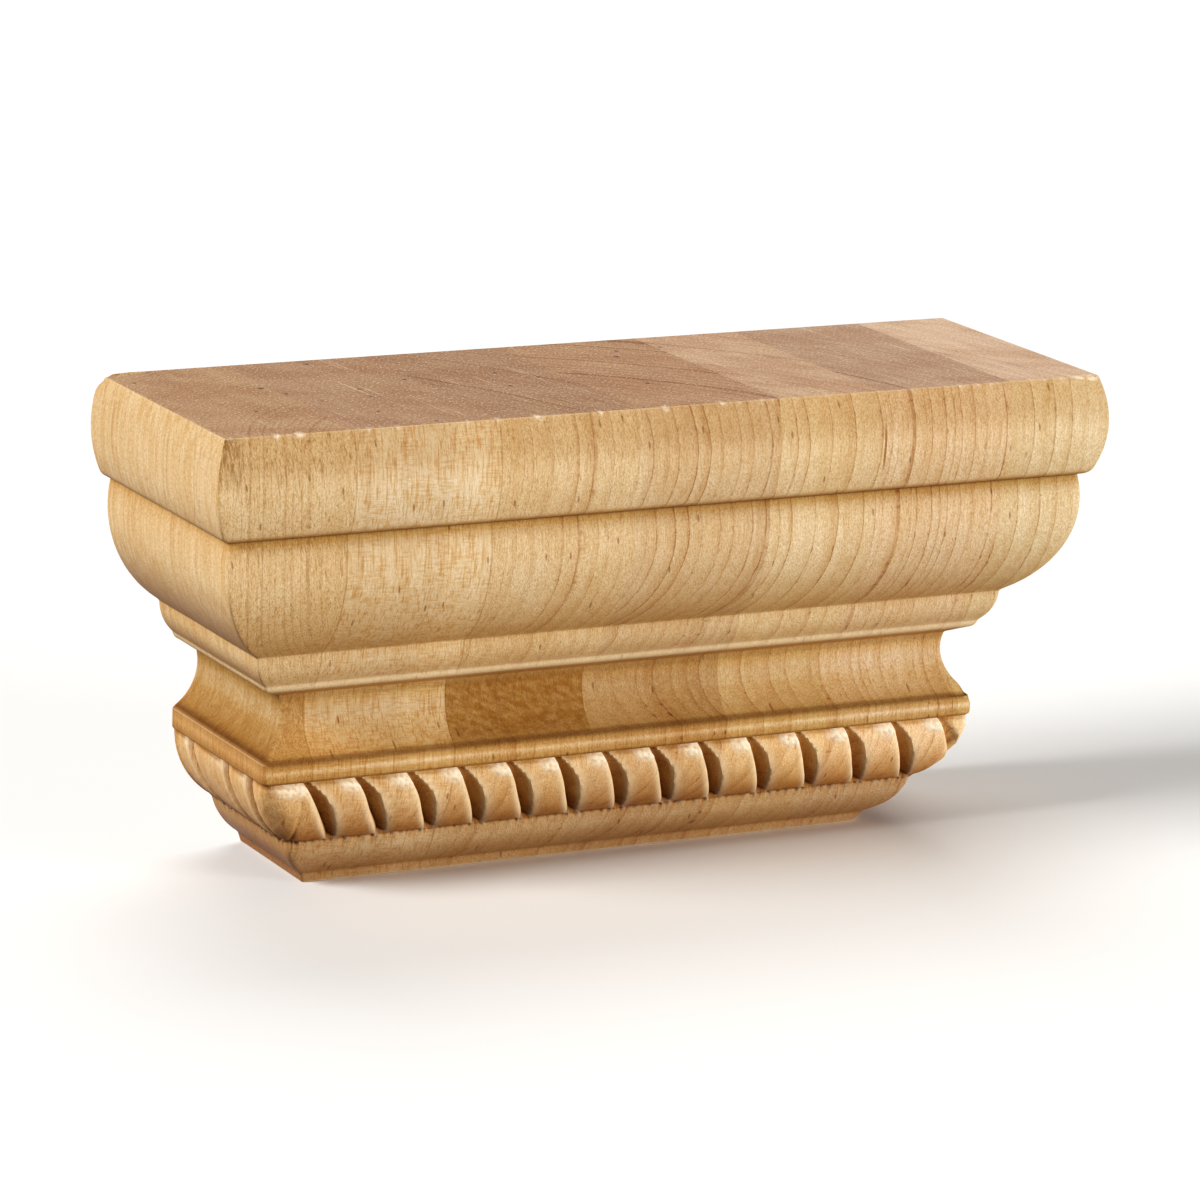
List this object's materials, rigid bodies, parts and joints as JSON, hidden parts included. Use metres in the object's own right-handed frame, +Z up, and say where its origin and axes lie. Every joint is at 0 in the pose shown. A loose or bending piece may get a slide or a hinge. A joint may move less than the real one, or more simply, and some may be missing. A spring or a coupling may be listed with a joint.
{
  "type": "carved wooden capital block",
  "caption": "Carved wooden capital block: cushioned abacus, stacked ovolos, hollow neck and a rope-cut band on the front and sides, with a flat back, top and underside.",
  "frame": {"origin": "middle of the flat underside, which the block stands on", "axes": "+X along the front, the block's length; +Y out of the flat back; -Y out of the carved front; +Z up"},
  "size_m": [0.2542, 0.0848, 0.1287],
  "materials": {
    "timber": "bare sanded hardwood, unfinished, honey-coloured, with darker end grain on top"
  },
  "bodies": {
    "root": {"capital_block": "timber"}
  },
  "joints": []
}
